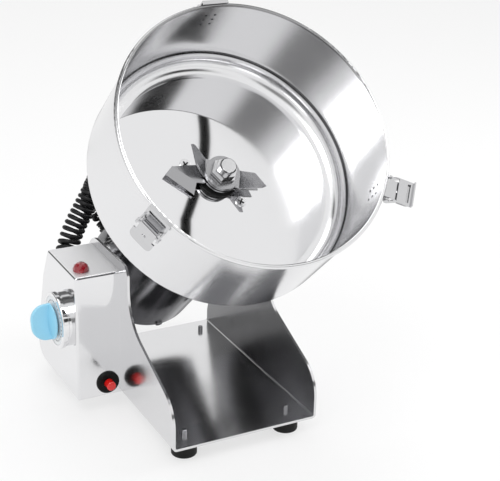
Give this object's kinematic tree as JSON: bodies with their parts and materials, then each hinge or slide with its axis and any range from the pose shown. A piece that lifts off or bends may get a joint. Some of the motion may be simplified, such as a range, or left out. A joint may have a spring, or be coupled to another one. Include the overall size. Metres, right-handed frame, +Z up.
{
  "type": "electric grain mill",
  "caption": "Stainless swing-type electric grain mill: tilting head with open bowl, blades and motor on a folded stand, side control box with timer, lamp and reset switch.",
  "frame": {"origin": "centre of the underside of the stand's base plate, above the feet", "axes": "+X to the right seen from the front, the control box at -X; +Y to the back; +Z up"},
  "size_m": [0.2997, 0.4276, 0.4189],
  "materials": {
    "satin_steel": "satin stainless sheet",
    "polished_steel": "polished stainless",
    "bright_fasteners": "zinc-bright",
    "machined_steel": "machined",
    "laminated_iron": "laminated",
    "copper": "enamelled copper",
    "cast_aluminium": "as cast",
    "black_plastic": "matte black",
    "white_plastic": "matte",
    "white_dial": "white with dark dots",
    "blue_plastic": "light blue",
    "red_plastic": "red",
    "black_rubber": "matte",
    "carbon": "carbon"
  },
  "bodies": {
    "stand": {"stand_frame": "satin_steel", "rubber_feet": "black_rubber", "foot_washers": "bright_fasteners", "foot_screws": "bright_fasteners", "pivot_bushes": "black_plastic", "control_box_shell": "satin_steel", "control_box_screws": "bright_fasteners", "timer_bezel": "polished_steel", "timer_dial": "white_dial", "timer_body": "black_plastic", "lamp_lens": "red_plastic", "lamp_body": "black_plastic", "switch_collar": "black_plastic", "switch_body": "black_plastic", "terminal_block": "white_plastic", "mains_gland": "black_plastic", "box_cord_gland": "black_plastic", "curly_cord": "black_rubber"},
    "head": {"bowl": "polished_steel", "bowl_corner_ring": "polished_steel", "floor_screws": "bright_fasteners", "motor_housing": "satin_steel", "bottom_cover": "satin_steel", "cover_screws": "bright_fasteners", "trunnion_bosses": "machined_steel", "pivot_bolts": "bright_fasteners", "motor_cord_gland": "black_plastic", "end_plate": "cast_aluminium", "upper_bearing": "machined_steel", "shaft_seal": "black_rubber", "lower_bracket": "cast_aluminium", "lower_bearing": "machined_steel", "stator_core": "laminated_iron", "stator_coils": "copper", "brush_holders": "black_plastic", "carbon_brushes": "carbon", "brush_springs": "machined_steel", "latch_brackets": "satin_steel", "latch_pins": "bright_fasteners"},
    "rotor": {"rotor_shaft": "machined_steel", "armature_core": "laminated_iron", "armature_windings": "copper", "commutator": "copper", "cooling_fan": "black_plastic", "slinger": "black_rubber", "blade_spacers": "polished_steel", "lower_blade": "polished_steel", "upper_blade": "polished_steel", "cup_washer": "polished_steel", "jam_nut": "polished_steel", "cap_nut": "polished_steel"},
    "timer_knob": {"timer_knob": "blue_plastic"},
    "reset_button": {"reset_button": "red_plastic"},
    "latch_lever_1": {"latch_lever_1": "satin_steel"},
    "latch_hook_1": {"latch_hook_1": "satin_steel"},
    "latch_lever_2": {"latch_lever_2": "satin_steel"},
    "latch_hook_2": {"latch_hook_2": "satin_steel"},
    "latch_lever_3": {"latch_lever_3": "satin_steel"},
    "latch_hook_3": {"latch_hook_3": "satin_steel"}
  },
  "joints": [
    {"name": "head_tilt", "type": "hinge", "parent": "stand", "child": "head", "pos_m": [0, 0.075, 0.1215], "axis": [1, 0, 0], "range_deg": [-47.5, 27.5], "deforming": ["curly_cord"]},
    {"name": "rotor_spin", "type": "hinge", "parent": "head", "child": "rotor", "pos_m": [0, 0.075, 0.1215], "axis": [0, -0.7373, 0.6756], "continuous": true},
    {"name": "timer_knob_turn", "type": "hinge", "parent": "stand", "child": "timer_knob", "pos_m": [-0.123, 0.0388, 0.0782], "axis": [-1, 0, 0], "range_deg": [-300, 0]},
    {"name": "reset_button_press", "type": "slide", "parent": "stand", "child": "reset_button", "axis": [0, 1, 0], "range_m": [0, 0.003], "stiffness_N_per_m": 400},
    {"name": "latch_lever_1_turn", "type": "hinge", "parent": "head", "child": "latch_lever_1", "pos_m": [0, -0.02444, 0.38895], "axis": [1, 0, 0], "range_deg": [0, 90]},
    {"name": "latch_hook_1_turn", "type": "hinge", "parent": "latch_lever_1", "child": "latch_hook_1", "pos_m": [0, -0.01947, 0.38845], "axis": [1, 0, 0], "range_deg": [-180, 0]},
    {"name": "latch_lever_2_turn", "type": "hinge", "parent": "head", "child": "latch_lever_2", "pos_m": [0.11258, -0.15618, 0.24518], "axis": [-0.5, -0.5851, -0.6385], "range_deg": [-90, 0]},
    {"name": "latch_hook_2_turn", "type": "hinge", "parent": "latch_lever_2", "child": "latch_hook_2", "pos_m": [0.11605, -0.15974, 0.24573], "axis": [-0.5, -0.5851, -0.6385], "range_deg": [0, 180]},
    {"name": "latch_lever_3_turn", "type": "hinge", "parent": "head", "child": "latch_lever_3", "pos_m": [-0.11258, -0.15618, 0.24518], "axis": [-0.5, 0.5851, 0.6385], "range_deg": [0, 90]},
    {"name": "latch_hook_3_turn", "type": "hinge", "parent": "latch_lever_3", "child": "latch_hook_3", "pos_m": [-0.11518, -0.15425, 0.24137], "axis": [-0.5, 0.5851, 0.6385], "range_deg": [-180, 0]}
  ],
  "couplings": [
    {"joint": "latch_hook_1_turn", "follows": "latch_lever_1_turn", "ratio": -2},
    {"joint": "latch_hook_2_turn", "follows": "latch_lever_2_turn", "ratio": -2},
    {"joint": "latch_hook_3_turn", "follows": "latch_lever_3_turn", "ratio": -2}
  ]
}
